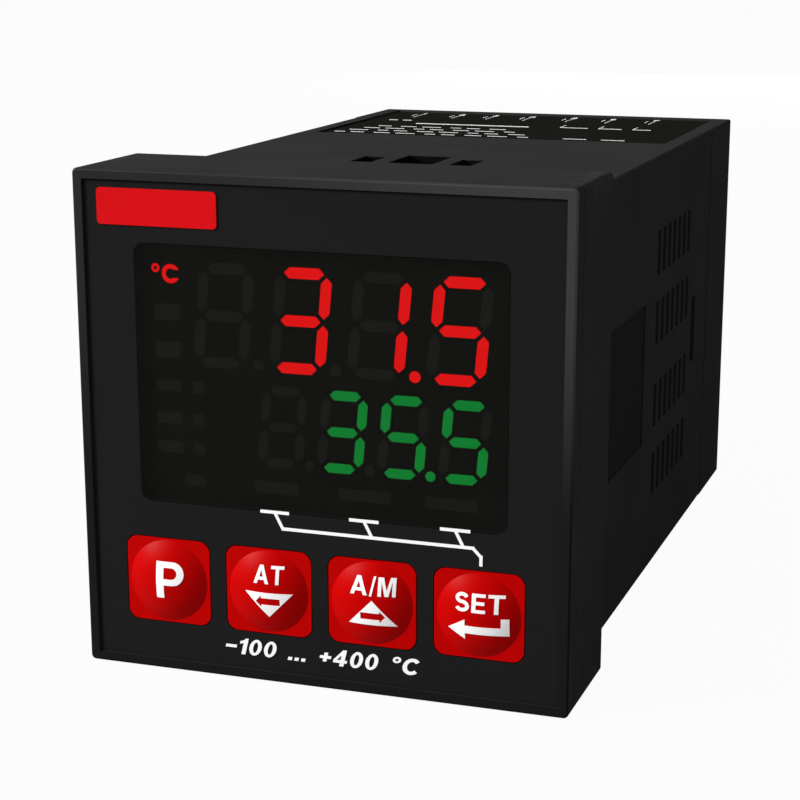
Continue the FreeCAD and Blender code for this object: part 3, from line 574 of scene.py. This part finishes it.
def return_mark():
    """A thick arrow to the left with a short upright at its right end."""
    return figure([(-2.88, 0), (-1.22, -0.96), (-1.22, -0.37), (2.88, -0.37), (2.88, 1.26), (2.13, 1.26),
                   (2.13, 0.37), (-1.22, 0.37), (-1.22, 0.96)])


def key_legends():
    """Function marks of the four keys, each laid over its dome; places are from the key's middle."""
    marks = {
        "program": [moved(letters("P", 3.6, 2.8), 0.47, 0.26)],
        "down": [moved(letters("AT", 1.74, 2.98), 0.3, 1.87), moved(triangle_mark(False), 0.3, 0.14)],
        "up": [moved(letters("A/M", 1.74, 4.38), 0.3, 1.87), moved(triangle_mark(True), 0.28, -1.87)],
        "set": [moved(letters("SET", 1.76, 4.64), 0.28, 1.36), moved(return_mark(), 0.12, -1.22)],
    }
    for name, shapes in marks.items():
        low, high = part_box("key_" + name)
        middle = ((low + high) / 2) / MM
        print_piece("legend_" + name, diced(together(shapes), 0.35), FRONT,
                    (middle.x, low.y / MM, middle.z), name + "_key", over_dome)


# ---------------------------------------------------------------- print on the front
def front_print():
    """The measuring range in plain numbers below the keys."""
    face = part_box("front_overlay")[0].y / MM
    numbers = letters("-100 ... +400 °C", height=1.61, width=19.5, slant=0.18)
    print_piece("range_numbers", numbers, FRONT, (0.07, face - PRINT_LIFT, -20.85), "chassis")


# ---------------------------------------------------------------- print on the label and the rear
def stroke_across(x, y, length):
    """A thin stroke of the label along X."""
    return figure(bar(x, x + length, y, y + LABEL_STROKE))


def stroke_along(x, y, length):
    """A thin stroke of the label along Y."""
    return figure(bar(x, x + LABEL_STROKE, y, y + length))


def label_print():
    """A plain wiring sketch on the top label, placed from the label's near and far edges.

    Numbered leads stand at the far edge, then come three angles and a blank heading, then rows of
    dashes and two entry lines at the near edge."""
    low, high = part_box("top_label")
    near = low.y / MM
    far = high.y / MM
    shapes = [figure(bar(-13.3, 0.9, near + 14.85, near + 15.2))]
    shapes += [figure(bar(x, x + 1.1, far - 10.8, far - 10.6)) for x in (-18.0, -16.2)]
    for index, x in enumerate((-16.2, -11.2, -6.8, -2.0, 3.4, 8.4, 13.8)):
        shapes.append(moved(plain_number(index + 1, 1.2), x, far - 1.7))
        shapes.append(stroke_along(x - LABEL_STROKE / 2, far - 6.5, 3.7))
        shapes.append(stroke_along(x - 0.87, far - 4.8, 2.0))
    for x, wide in ((4.6, 3.4), (9.3, 2.8), (13.4, 2.2)):
        shapes.append(stroke_across(x, near + 15.57, wide))
        shapes.append(stroke_along(x, near + 15.66, 2.74))
    for row in range(4):
        x = -19.4 + 0.9 * row
        for index in range(9 - row):
            wide = 1.3 + 0.35 * ((index * 5 + row * 3) % 4)
            shapes.append(stroke_across(x, near + 3.12 + 2.6 * row, wide))
            x += wide + 0.7 + 0.5 * ((index + row) % 2)
    shapes += [stroke_across(x, near + 3.02, 2.7) for x in (8.2, 12.6)]
    print_piece("label_table", together(shapes), TOP, (0, 0, high.z / MM + PRINT_LIFT), "chassis")


def terminal_numbers():
    """Numbers 1 to 12 beside the terminals, on the spine of the rear casing."""
    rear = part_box("terminal_base")[1].y / MM
    shapes = []
    for number in range(1, 13):
        plate_low, plate_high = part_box("terminal_plate_%02d" % number)
        z = (plate_low.z + plate_high.z) / 2 / MM
        x = -10.6 if plate_low.x > 0 else 10.6
        shapes.append(moved(plain_number(number, 1.9, 0.02), x, z))
    print_piece("terminal_numbers", together(shapes), REAR, (0, rear + PRINT_LIFT, 0), "chassis")


# ---------------------------------------------------------------- light, floor and camera
def floor():
    """A pale floor that is white to the eye and to gloss, and still takes a faint shadow."""
    mesh = bpy.data.meshes.new("floor")
    z = cad_box[0].z - 0.0002
    corners = [(x, y, z) for x, y in bar(-12.0, 12.0, -12.0, 12.0)]
    mesh.from_pydata(corners, [], [(0, 1, 2, 3)])
    plane = bpy.data.objects.new("floor", mesh)
    bpy.context.scene.collection.objects.link(plane)
    finish = Finish("floor_white", (0.42, 0.42, 0.42), Roughness=0.9, Specular_IOR_Level=0.0)
    nodes, links = finish.tree.nodes, finish.tree.links
    seen = seen_rays(finish)
    glow = nodes.new("ShaderNodeEmission")
    mixed = nodes.new("ShaderNodeMixShader")
    links.new((FLOOR_GLOW * seen).socket, mixed.inputs[0])
    links.new(finish.shader.outputs[0], mixed.inputs[1])
    links.new(glow.outputs[0], mixed.inputs[2])
    links.new(mixed.outputs[0], nodes["Material Output"].inputs["Surface"])
    mesh.materials.append(finish.material)


def seen_rays(finish):
    """1 for rays of the camera, of gloss and through clear plastic."""
    paths = [finish.node("ShaderNodeLightPath", output=name)
             for name in ("Is Camera Ray", "Is Glossy Ray", "Is Transmission Ray")]
    total = paths[0] + paths[1] + paths[2]
    return finish.node("ShaderNodeMath", {"operation": "MINIMUM"}, {0: total, 1: 1.0})


def surroundings():
    """White room: full strength where it is seen, weaker as a light."""
    world = bpy.data.worlds.new("room")
    bpy.context.scene.world = world
    world.use_nodes = True
    tree = world.node_tree
    back = tree.nodes["Background"]
    back.inputs["Color"].default_value = (1, 1, 1, 1)
    paths = tree.nodes.new("ShaderNodeLightPath")
    total = None
    for name in ("Is Camera Ray", "Is Glossy Ray", "Is Transmission Ray"):
        if total is None:
            total = paths.outputs[name]
            continue
        step = tree.nodes.new("ShaderNodeMath")
        step.operation = "MAXIMUM"
        tree.links.new(total, step.inputs[0])
        tree.links.new(paths.outputs[name], step.inputs[1])
        total = step.outputs[0]
    level = tree.nodes.new("ShaderNodeMapRange")
    level.inputs["To Min"].default_value = ROOM_LIGHT
    level.inputs["To Max"].default_value = ROOM_SEEN
    tree.links.new(total, level.inputs["Value"])
    tree.links.new(level.outputs[0], back.inputs["Strength"])


def lamp(name, place, target, size, watts):
    """A round soft lamp at a place, turned to a target; both and its size are in metres."""
    data = bpy.data.lights.new(name, "AREA")
    data.shape = "DISK"
    data.size = size
    data.energy = watts
    made = bpy.data.objects.new(name, data)
    bpy.context.scene.collection.objects.link(made)
    made.location = place
    made.rotation_mode = "QUATERNION"
    made.rotation_quaternion = (Vector(target) - Vector(place)).to_track_quat("-Z", "Y")


def camera():
    """The eye stands to the right of the front and above it; its three axes are unit vectors."""
    right = Vector((0.946514, 0.322661, -0.000092))
    down = Vector((0.079177, -0.232537, -0.969359))
    ahead = Vector((-0.312796, 0.917505, -0.245647))
    data = bpy.data.cameras.new("camera")
    data.sensor_width = 36.0
    data.lens = 89.31
    data.shift_x = -0.008
    data.shift_y = 0.0384
    data.clip_start = 0.01
    data.clip_end = 50.0
    made = bpy.data.objects.new("camera", data)
    bpy.context.scene.collection.objects.link(made)
    turn = Matrix((right, -down, -ahead)).transposed()
    made.matrix_world = Matrix.Translation(Vector((64.204, -175.818, 45.352)) * MM) @ turn.to_4x4()
    bpy.context.scene.camera = made


slots = node_slots()
for node_name, node in frame["nodes"].items():
    dress(node, slots[node_name])
key_legends()
front_print()
label_print()
terminal_numbers()
floor()
surroundings()
lamp("upper_left", (-0.605, -0.363, 0.372), (0, 0, 0), 0.3, 9.1)
lamp("rear", (-0.05, 0.8, 0.0), (0, 0, 0), 0.4, 3.6)
camera()

bpy.context.scene.view_settings.view_transform = "Standard"
